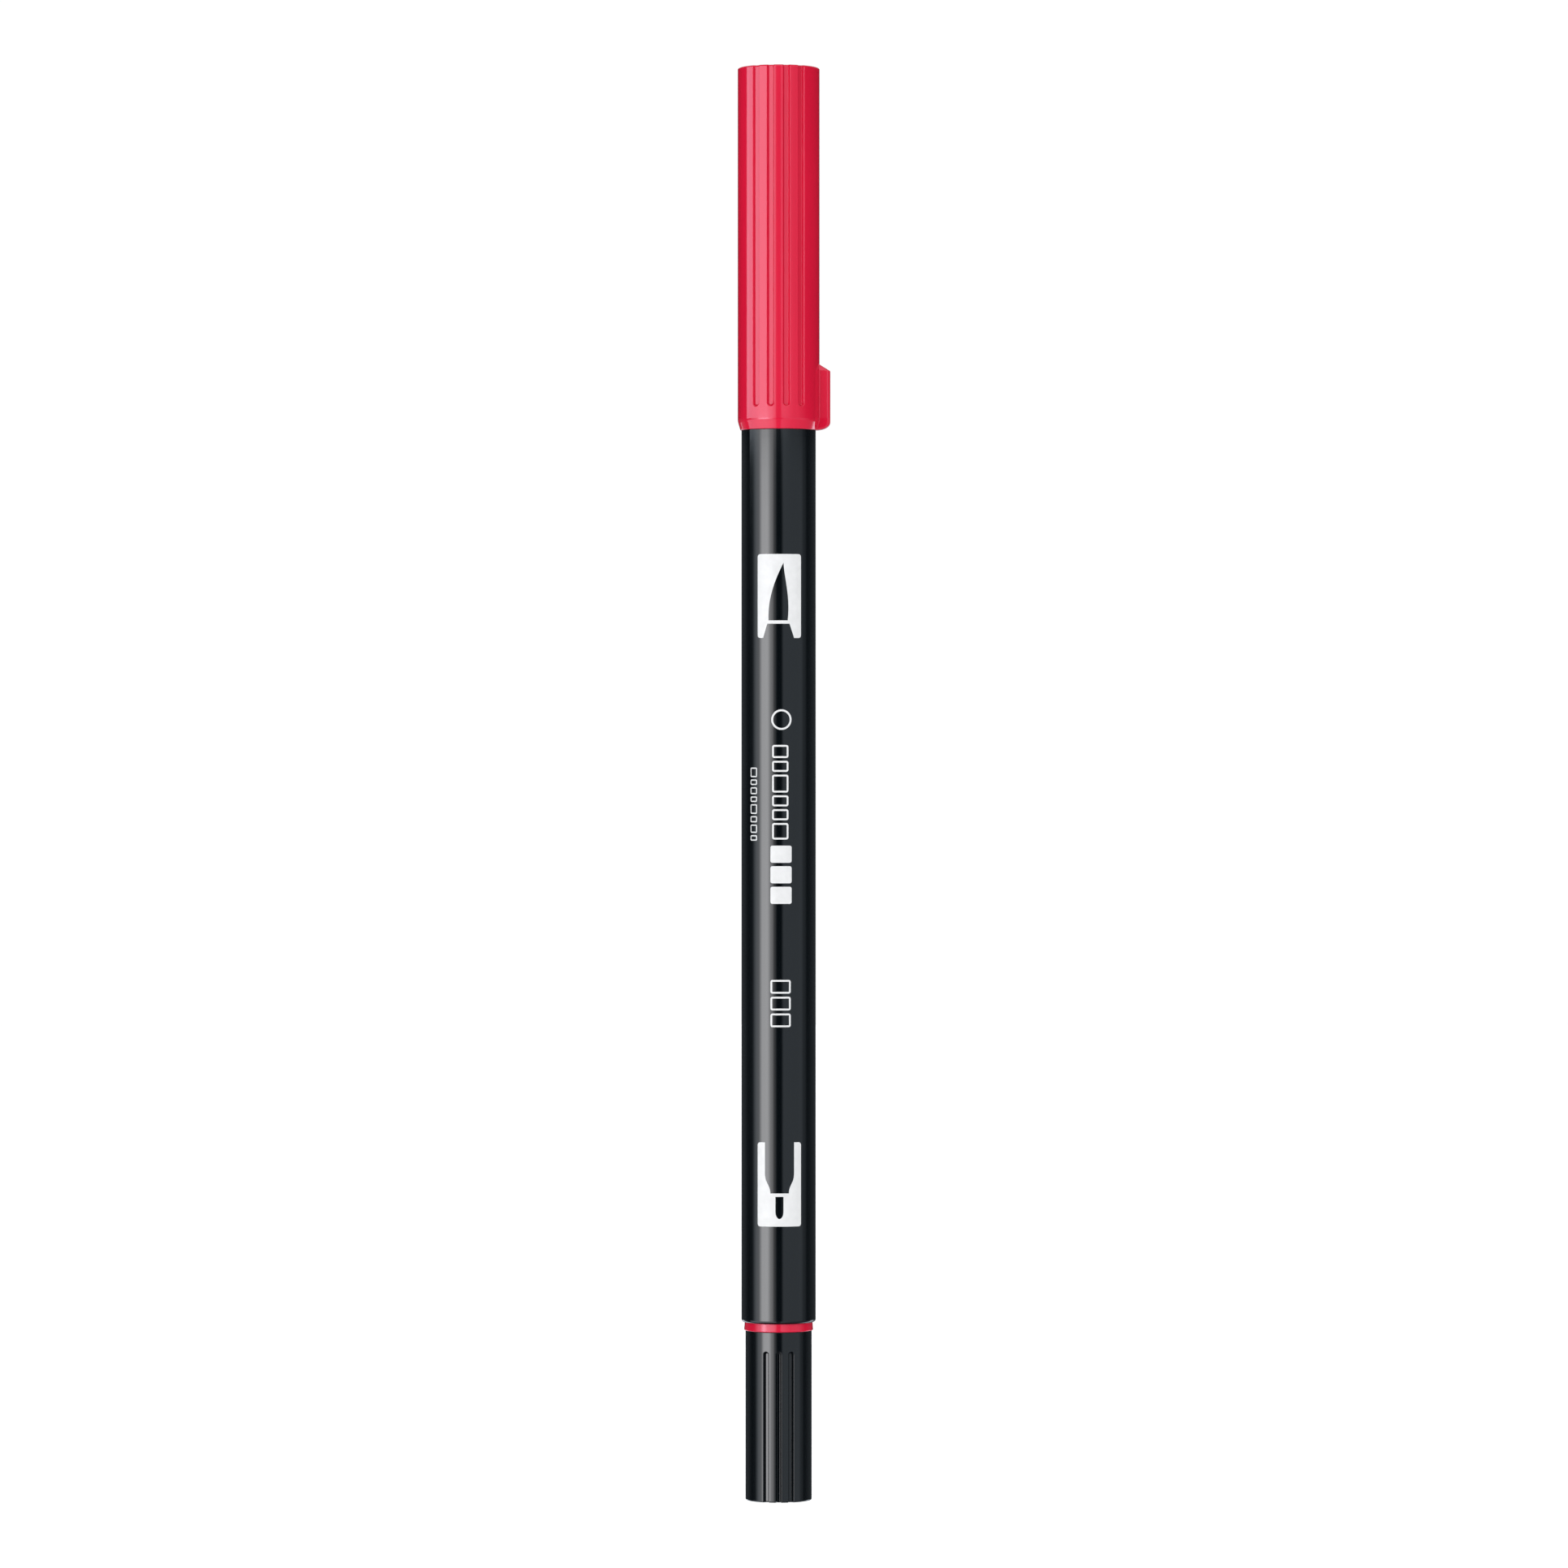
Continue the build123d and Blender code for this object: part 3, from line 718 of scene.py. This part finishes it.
def make_brush_section():
    """The brush's holder: a plug in the barrel's neck, a collar on top of it, and a tapered nose."""
    neck_top = barrel_high.z
    seat = brush_nose - 3.4
    outline = rounded([
        (SECTION_BORE_R, neck_top - 8.4), (BRUSH_PLUG_R, neck_top - 8.4), (BRUSH_PLUG_R, neck_top),
        (BRUSH_COLLAR_R, neck_top, 0.06), (BRUSH_COLLAR_R, neck_top + 1.0, 0.3),
        (BRUSH_HOLDER_R, neck_top + 1.0, 0.2), (BRUSH_HOLDER_R, neck_top + 5.5, 1.8),
        (BRUSH_NOSE_R + 0.07, brush_nose - 1.1, 0.8), (BRUSH_NOSE_R, brush_nose, 0.25),
        (BRUSH_SOCKET_R, brush_nose), (BRUSH_SOCKET_R, seat), (BRUSH_STEM_R, seat),
        (BRUSH_STEM_R, neck_top + 2.4), (SECTION_BORE_R, neck_top + 1.2),
    ], closed=True)
    add_piece(turned("brush_section_shell", outline), "barrel", SECTION_BLACK,
              ["brush_section"])


FINE_PLUG_R = 4.52
FINE_NECK_LOW_Z = 16.9
FINE_HOLDER_R = 2.1
FINE_NOSE_R = 1.5
FINE_SOCKET_R = 0.83
FINE_FUNNEL_R = 2.45


def make_fine_section():
    """The fine tip's holder: a plug in the barrel, a neck with a snap bead, and a stepped nose."""
    plug_top = ring_high.z + 7.1
    outline = rounded([
        (SECTION_BORE_R, plug_top), (FINE_PLUG_R, plug_top), (FINE_PLUG_R, ring_high.z),
        (FINE_NECK_R, ring_high.z), (FINE_NECK_R, ring_low.z - 3.0),
    ])
    outline += bead(FINE_NECK_R, ring_low.z - 4.4, FINE_BEAD, FINE_BEAD_WIDTH)[::-1]
    outline += rounded([
        (FINE_NECK_R, ring_low.z - 6.0), (FINE_NECK_R, FINE_NECK_LOW_Z, 0.3),
        (3.1, FINE_NECK_LOW_Z - 0.6, 1.2), (FINE_HOLDER_R, 13.9, 1.0), (FINE_HOLDER_R, 10.2, 0.8),
        (FINE_NOSE_R, fine_nose, 0.2), (FINE_SOCKET_R, fine_nose), (FINE_SOCKET_R, 14.2),
        (FINE_FUNNEL_R, 18.2), (SECTION_BORE_R, 19.2),
    ])
    add_piece(turned("fine_section_shell", outline), "barrel", SECTION_BLACK,
              ["fine_section"])


BRUSH_TIP_R = 2.10
BRUSH_TIP_STEM_R = 1.6
BRUSH_POINT_R = 0.95
BRUSH_FIBRES = 44
BRUSH_SEGMENTS = 8 * BRUSH_FIBRES
FIBRE_DEPTH = 0.03
FIBRES_START = 0.2      # above the section's nose
FIBRES_FADE = 2.0
POINT_FADE_R = 1.2
POINT_PLAIN_R = 0.05


def groove_fibres(mesh):
    """Cuts shallow grooves between the brush's fibres, fading towards its root and its point."""
    start = brush_nose + FIBRES_START
    for vertex in mesh.vertices:
        x, y, z = vertex.co / MM
        radius = hypot(x, y)
        if z > start and radius > POINT_PLAIN_R:
            turn = asin(max(-1, min(1, y / radius)))
            fade = min(1, (z - brush_nose - FIBRES_START) / FIBRES_FADE) * min(1, radius / POINT_FADE_R)
            depth = FIBRE_DEPTH * fade * (0.5 - 0.5 * cos(BRUSH_FIBRES * turn))
            vertex.co.x *= 1 - depth / radius
            vertex.co.y *= 1 - depth / radius


def make_brush_nib():
    """The brush: a flexible point with shallow grooves between its fibres, on a straight stem."""
    low = limits("brush_nib")[0].z
    seat = brush_nose - 3.37
    waist = brush_nose + 11.2
    flank = curve_points((BRUSH_TIP_R, brush_nose), (2.42, brush_nose + 4.0), (1.95, brush_nose + 7.0),
                         (BRUSH_POINT_R, waist), 16)
    point = curve_points((BRUSH_POINT_R, waist), (0.62, waist + 1.3), (0.25, brush_tip - 0.1),
                         (0.0, brush_tip), 10)
    stem = [(0.0, low), (BRUSH_TIP_STEM_R, low), (BRUSH_TIP_STEM_R, seat), (BRUSH_TIP_R, seat)]
    mesh = turned("brush_tip", stem + flank + point[1:], segments=BRUSH_SEGMENTS, closed=False)
    groove_fibres(mesh)
    add_piece(mesh, "barrel", BRUSH_FIBRE, ["brush_nib"], sharp=60)


FINE_ROD_R = 0.8
FINE_ROD_SEGMENTS = 64


def make_fine_nib():
    """The fine tip: a plastic rod with a rounded cone at its end."""
    high = limits("fine_nib")[1].z
    profile = [
        (0.0, high), (FINE_ROD_R, high), (FINE_ROD_R, fine_tip + 1.9), (FINE_ROD_R - 0.01, fine_tip + 1.75),
    ]
    profile += curve_points((0.76, fine_tip + 1.6), (0.66, fine_tip + 1.1), (0.5, fine_tip + 0.6),
                            (0.3, fine_tip + 0.22), 8)
    profile += curve_points((0.25, fine_tip + 0.12), (0.19, fine_tip + 0.03), (0.1, fine_tip),
                            (0.0, fine_tip), 6)
    mesh = turned("fine_tip", profile, segments=FINE_ROD_SEGMENTS, closed=False)
    add_piece(mesh, "barrel", NIB_RED, ["fine_nib"])


def dress_hidden_nodes():
    """Materials for the CAD nodes that stay: the liners and the ink reservoir."""
    finishes = {
        "brush_cap_liner": LINER_WHITE,
        "fine_cap_liner": LINER_WHITE,
        "ink_reservoir": RESERVOIR_FIBRE,
        "reservoir_film": CLEAR_FILM,
    }
    for node, material in finishes.items():
        frame["nodes"][node].data.materials.clear()
        frame["nodes"][node].data.materials.append(material)


# ---------------------------------------------------------------------------------------------------------
# Printing on the barrel
# ---------------------------------------------------------------------------------------------------------

# Places on the print are (s, z): s is the distance round the barrel from its front
PRINT_THICKNESS = 0.012
PRINT_STEP = 0.3
PRINT_JOIN = 1e-4
PANEL_WIDTH = 6.73
PANEL_SHIFT = 0.13
PANEL_LEFT = PANEL_SHIFT - PANEL_WIDTH / 2
PANEL_RIGHT = PANEL_SHIFT + PANEL_WIDTH / 2
PANEL_CORNER = 0.42
BRUSH_PANEL_Z = (126.33, 138.57)
FINE_PANEL_Z = (40.39, 52.68)


def print_on_barrel(name, loops):
    """A film of white ink on the barrel's front, from closed loops of (s, z). Inner loops are gaps."""
    curve = bpy.data.curves.new(name, "CURVE")
    curve.dimensions = "2D"
    curve.fill_mode = "BOTH"
    curve.extrude = PRINT_THICKNESS / 2
    for loop in loops:
        spline = curve.splines.new("POLY")
        spline.points.add(len(loop) - 1)
        for point, (s, z) in zip(spline.points, loop):
            point.co = (s, z, 0, 1)
        spline.use_cyclic_u = True
    flat = bpy.data.objects.new(name, curve)
    bpy.context.scene.collection.objects.link(flat)
    bpy.context.view_layer.update()
    mesh = bpy.data.meshes.new_from_object(flat)
    bpy.data.objects.remove(flat)
    mesh.name = name
    bm = bmesh.new()
    bm.from_mesh(mesh)
    bmesh.ops.remove_doubles(bm, verts=bm.verts, dist=PRINT_JOIN)
    widest = max(abs(v.co.x) for v in bm.verts)
    cuts = ceil(widest / PRINT_STEP)
    for k in range(-cuts, cuts + 1):
        every = bm.verts[:] + bm.edges[:] + bm.faces[:]
        bmesh.ops.bisect_plane(bm, geom=every, plane_co=(k * PRINT_STEP, 0, 0), plane_no=(1, 0, 0))
    for vertex in bm.verts:
        s, z, out = vertex.co
        radius = BARREL_R + PRINT_THICKNESS / 2 + out
        angle = FRONT + s / BARREL_R
        vertex.co = Vector((radius * cos(angle), radius * sin(angle), z)) * MM
    bmesh.ops.recalc_face_normals(bm, faces=bm.faces)
    bm.to_mesh(mesh)
    bm.free()
    add_piece(mesh, "barrel", PRINT_WHITE, sharp=30)


def box_loop(s_low, s_high, z_low, z_high, corner):
    """A rounded rectangle."""
    return rounded([(s_low, z_low, corner), (s_high, z_low, corner), (s_high, z_high, corner),
                    (s_low, z_high, corner)], closed=True)


def make_brush_panel():
    """The panel by the brush end: a brush tip over the flare of its holder, left open in the white."""
    low, high = BRUSH_PANEL_Z
    band_z = low + 2.07
    tip_z = low + 2.55
    panel = rounded([
        (PANEL_LEFT, low, PANEL_CORNER), (-2.33, low), (-1.68, band_z), (1.62, band_z), (2.33, low),
        (PANEL_RIGHT, low, PANEL_CORNER), (PANEL_RIGHT, high, PANEL_CORNER), (PANEL_LEFT, high, PANEL_CORNER),
    ], closed=True)
    point = (0.72, low + 11.0)
    tip = curve_points((-1.50, tip_z), (-1.62, tip_z + 3.2), (-0.55, tip_z + 5.9), point, 14)
    tip += curve_points(point, (0.85, tip_z + 6.0), (1.78, tip_z + 3.4), (1.34, tip_z), 14)[1:]
    print_on_barrel("print_brush_panel", [panel, tip])


def fine_panel_outline():
    """A panel that a holder, narrowing to its collar, cuts into from above."""
    low, high = FINE_PANEL_Z
    body_left, body_right, body_z = -2.04, 2.33, low + 7.75
    collar_left, collar_right, collar_z = -1.21, 1.52, low + 4.84
    left_side = curve_points((body_left, body_z), (body_left, body_z - 1.5), (collar_left, collar_z + 1.3),
                             (collar_left, collar_z), 8)
    right_side = curve_points((collar_right, collar_z), (collar_right, collar_z + 1.3),
                              (body_right, body_z - 1.5), (body_right, body_z), 8)
    outline = rounded([
        (PANEL_RIGHT, high, PANEL_CORNER), (PANEL_RIGHT, low, PANEL_CORNER), (PANEL_LEFT, low, PANEL_CORNER),
        (PANEL_LEFT, high, PANEL_CORNER),
    ], closed=True)
    return outline + [(body_left, high), *left_side, *right_side, (body_right, high)]


def fine_panel_tip():
    """The fine tip: a rod with a round end."""
    panel_low = FINE_PANEL_Z[0]
    left, right, high, low = -0.465, 0.717, panel_low + 4.35, panel_low + 1.1
    middle = (left + right) / 2
    shoulder = low + 1.0
    tip = [(left, high), (left, shoulder)]
    tip += curve_points((left, shoulder), (left, low + 0.4), (middle - 0.25, low), (middle, low), 6)[1:]
    tip += curve_points((middle, low), (middle + 0.25, low), (right, low + 0.4), (right, shoulder), 6)[1:]
    return tip + [(right, high)]


def make_fine_panel():
    """The panel by the fine end: a holder and its fine tip, left open in the white."""
    print_on_barrel("print_fine_panel", [fine_panel_outline(), fine_panel_tip()])


def make_blocks(name, s_middle, height, z_top, lengths, gap, stroke):
    """A row of plain outlined blocks down the barrel, each as long as lengths says."""
    loops = []
    left, right = s_middle - height / 2, s_middle + height / 2
    for length in lengths:
        z_low = z_top - length
        loops.append(box_loop(left, right, z_low, z_top, 1.2 * stroke))
        loops.append(box_loop(left + stroke, right - stroke, z_low + stroke, z_top - stroke, 0.3 * stroke))
        z_top = z_low - gap
    print_on_barrel(name, loops)


RING_MARK = (0.42, 114.4)
RING_MARK_RADII = (1.5, 1.22)
RING_MARK_STEPS = 48
BOLD_BLOCK_TOPS = (96.0, 93.0, 90.0)
BOLD_BLOCK_HEIGHT = 2.5


def make_ring_mark():
    """A plain ring."""
    s_middle, z_middle = RING_MARK
    turns = [2 * pi * k / RING_MARK_STEPS for k in range(RING_MARK_STEPS)]
    rings = []
    for radius in RING_MARK_RADII:
        rings.append([(s_middle + radius * cos(a), z_middle + radius * sin(a)) for a in turns])
    print_on_barrel("print_ring", rings)


def make_marks():
    """Plain stand-ins for lines of print: a ring, rows of outlined blocks, and three solid blocks."""
    make_ring_mark()
    make_blocks("print_line_long", s_middle=0.25, height=2.4, z_top=110.7,
                lengths=(1.9, 1.6, 2.6, 1.6, 1.6, 2.4), gap=0.42, stroke=0.26)
    bold = [box_loop(-1.2, 1.94, top - BOLD_BLOCK_HEIGHT, top, 0.3) for top in BOLD_BLOCK_TOPS]
    print_on_barrel("print_blocks_bold", bold)
    make_blocks("print_line_small", s_middle=-3.98, height=1.25, z_top=107.4,
                lengths=(1.4, 0.8, 1.0, 0.8, 1.4, 0.9, 1.2, 0.8), gap=0.34, stroke=0.17)
    make_blocks("print_line_short", s_middle=0.3, height=3.0, z_top=76.4,
                lengths=(2.0, 2.0, 2.0), gap=0.45, stroke=0.26)


# ---------------------------------------------------------------------------------------------------------
# Camera, light and stage
# ---------------------------------------------------------------------------------------------------------

# Metres, but for the sensor and the floor's gap, in millimetres
CAMERA_DISTANCE = 1.0
FRAME_WIDTH = 0.2301
SENSOR = 36.0
FLOOR_GAP = 8.0
STAGE_RADIUS = 3.0
FLOOR_GLOW = 0.56
SURROUND_GLOW = 1.02
WHITE = (1, 1, 1, 1)


def make_camera():
    """A level long lens, square on to the front of the pen."""
    camera = bpy.data.objects.new("camera", bpy.data.cameras.new("camera"))
    bpy.context.scene.collection.objects.link(camera)
    camera.data.sensor_width = SENSOR
    camera.data.lens = SENSOR * CAMERA_DISTANCE / FRAME_WIDTH
    centre = (cad_box[0] + cad_box[1]) / 2
    camera.location = (centre.x, -CAMERA_DISTANCE, centre.z)
    camera.rotation_euler = (pi / 2, 0, 0)
    bpy.context.scene.camera = camera


def emission_backdrop(name, strength):
    """A plain white glow."""
    material = bpy.data.materials.new(name)
    material.use_nodes = True
    nodes = material.node_tree.nodes
    nodes.remove(nodes["Principled BSDF"])
    glow = nodes.new("ShaderNodeEmission")
    glow.inputs["Strength"].default_value = strength
    material.node_tree.links.new(glow.outputs[0], nodes["Material Output"].inputs["Surface"])
    return material


def stage_object(name, bm, material):
    """Puts a built mesh in the scene as part of the stage."""
    mesh = bpy.data.meshes.new(name)
    bm.to_mesh(mesh)
    bm.free()
    mesh.materials.append(material)
    prop = bpy.data.objects.new(name, mesh)
    bpy.context.scene.collection.objects.link(prop)
    return prop


def make_stage():
    """A white floor under the reach of the fine cap, and a white surround that only the camera sees."""
    paint = Shader("floor_white", Base_Color=(0.86, 0.86, 0.86, 1), Roughness=0.9, Emission_Color=WHITE,
                   Emission_Strength=FLOOR_GLOW)
    bm = bmesh.new()
    bmesh.ops.create_circle(bm, cap_ends=True, radius=STAGE_RADIUS, segments=96)
    floor = stage_object("floor", bm, paint.material)
    floor.location.z = (fine_low.z - PULL["fine_cap_pull"] - FLOOR_GAP) * MM
    floor.visible_glossy = False

    bm = bmesh.new()
    bmesh.ops.create_uvsphere(bm, u_segments=48, v_segments=24, radius=STAGE_RADIUS)
    surround = stage_object("surround", bm, emission_backdrop("surround_white", SURROUND_GLOW))
    surround.visible_diffuse = False
    surround.visible_glossy = False
    surround.visible_transmission = False
    surround.visible_volume_scatter = False
    surround.visible_shadow = False


PEAK = 8.0              # the brightest level that a ramp can hold
NEUTRAL = (0.97, 0.975, 1.0)
COOL = (0.80, 0.90, 1.0)

# The heights, in degrees above the horizon, over which one band of lights gives way to the next
DARK_BAND = (-60, -45)
LOWER_BAND = (-9, -7)
UPPER_BAND = (2.92, 3.01)
OVERHEAD_BAND = (6.4, 8.6)
DARK_LEVEL = 0.05


class Sky:
    """The studio's lamps and flags, painted on the world by compass angle and height."""

    def __init__(self):
        world = bpy.data.worlds.new("studio")
        bpy.context.scene.world = world
        world.use_nodes = True
        self.nodes = world.node_tree.nodes
        self.nodes.remove(self.nodes["Background"])
        self.links = world.node_tree.links
        direction = self.nodes.new("ShaderNodeTexCoord").outputs["Generated"]
        split = self.nodes.new("ShaderNodeSeparateXYZ")
        self.links.new(direction, split.inputs[0])
        x, y, z = split.outputs
        self.turn = self.math("ARCTAN2", x, self.math("MULTIPLY", y, -1))
        self.height = self.math("ARCSINE", z)

    def math(self, operation, *values):
        """The result of a sum on numbers or outputs."""
        node = self.nodes.new("ShaderNodeMath")
        node.operation = operation
        for socket, value in zip(node.inputs, values):
            if isinstance(value, (int, float)):
                socket.default_value = value
            else:
                self.links.new(value, socket)
        return node.outputs[0]

    def ramp(self, angle, stops):
        """A level that eases through (degrees, level) stops as the angle runs round."""
        colours = [(degree, (level / PEAK, level / PEAK, level / PEAK)) for degree, level in stops]
        return self.math("MULTIPLY", self.colours(angle, colours), PEAK)

    def colours(self, angle, stops):
        """A colour that eases through (degrees, colour) stops as the angle runs round."""
        spread = self.nodes.new("ShaderNodeMapRange")
        spread.inputs["From Min"].default_value = -pi
        spread.inputs["From Max"].default_value = pi
        self.links.new(angle, spread.inputs["Value"])
        node = self.nodes.new("ShaderNodeValToRGB")
        ramp = node.color_ramp
        ramp.interpolation = "EASE"
        while len(ramp.elements) < len(stops):
            ramp.elements.new(0.5)
        for element, (degree, _) in zip(ramp.elements, stops):
            element.position = degree / 360 + 0.5
        for element, (_, colour) in zip(ramp.elements, stops):
            element.color = (*colour, 1)
        self.links.new(spread.outputs["Result"], node.inputs["Fac"])
        return node.outputs["Color"]

    def above(self, low, high):
        """A share that goes from 0 to 1 as the height above the horizon goes from low to high degrees."""
        node = self.nodes.new("ShaderNodeMapRange")
        node.interpolation_type = "SMOOTHSTEP"
        node.inputs["From Min"].default_value = radians(low)
        node.inputs["From Max"].default_value = radians(high)
        self.links.new(self.height, node.inputs["Value"])
        return node.outputs["Result"]

    def light(self, share, low, high):
        """Shines the (colour, level) of low where share is 0 and that of high where it is 1."""
        mix = self.nodes.new("ShaderNodeMixShader")
        self.links.new(share, mix.inputs["Fac"])
        for socket, (colour, level) in zip(mix.inputs[1:], (low, high)):
            background = self.nodes.new("ShaderNodeBackground")
            self.links.new(level, background.inputs["Strength"])
            if isinstance(colour, tuple):
                background.inputs["Color"].default_value = colour
            else:
                self.links.new(colour, background.inputs["Color"])
            self.links.new(background.outputs[0], socket)
        self.links.new(mix.outputs[0], self.nodes["World Output"].inputs["Surface"])

    def blend(self, share, low, high):
        """low where share is 0 and high where it is 1."""
        rest = self.math("SUBTRACT", 1, share)
        return self.math("ADD", self.math("MULTIPLY", rest, low), self.math("MULTIPLY", share, high))


def make_sky():
    """The studio's light.

    A soft strip stands to the left of the camera, a dim panel to its right and flags at the sides, under a
    light tent. The strip widens above the height that only the brush cap mirrors. Views from above mirror
    the strips below the horizon.
    """
    sky = Sky()
    middle = sky.ramp(sky.turn, [
        (-180, 0.5), (-165, 0.06), (-130, 0.12), (-104, 0.03), (-92, 0.08), (-66, 2.2), (-50, 7.5),
        (-36, 7.8), (-22, 3.6), (-12, 0.8), (-4, 0.0), (7, 0.0), (17, 0.8), (72, 0.75), (88, 0.3),
        (100, 0.05), (130, 0.11), (165, 0.05), (180, 0.5),
    ])
    upper = sky.ramp(sky.turn, [
        (-180, 0.3), (-160, 0.02), (-104, 0.0), (-99, 3.4), (-40, 3.7), (-22, 3.0), (-9, 1.8), (-6, 0.3),
        (5, 0.25), (9, 1.3), (50, 0.5), (90, 0.02), (165, 0.02), (180, 0.3),
    ])
    lower = sky.ramp(sky.turn, [
        (-180, 0.3), (-168, 0.3), (-150, 3.0), (-132, 0.3), (-104, 0.05), (-99, 2.0), (-40, 2.4),
        (-22, 2.0), (-9, 1.2), (-6, 0.2), (5, 0.2), (9, 0.9), (50, 0.5), (100, 0.3), (115, 0.4),
        (130, 3.5), (150, 0.4), (180, 0.3),
    ])
    overhead = sky.ramp(sky.turn, [
        (-180, 0.8), (-130, 0.4), (-90, 0.05), (-50, 0.5), (-5, 1.7), (40, 1.25), (90, 0.3),
        (130, 0.4), (180, 0.8),
    ])
    cool = sky.colours(sky.turn, [(-180, COOL), (-90, COOL), (-50, NEUTRAL), (-15, NEUTRAL), (0, COOL)])
    level = sky.blend(sky.above(*UPPER_BAND), middle, upper)
    level = sky.blend(sky.above(*LOWER_BAND), lower, level)
    level = sky.blend(sky.above(*DARK_BAND), DARK_LEVEL, level)
    sky.light(sky.above(*OVERHEAD_BAND), (cool, level), (WHITE, overhead))


make_camera()
make_stage()
make_sky()
bpy.context.scene.view_settings.view_transform = "Standard"

make_barrel()
make_ring()
make_brush_section()
make_fine_section()
make_brush_nib()
make_fine_nib()
make_brush_cap()
make_fine_cap()
dress_hidden_nodes()
make_brush_panel()
make_fine_panel()
make_marks()
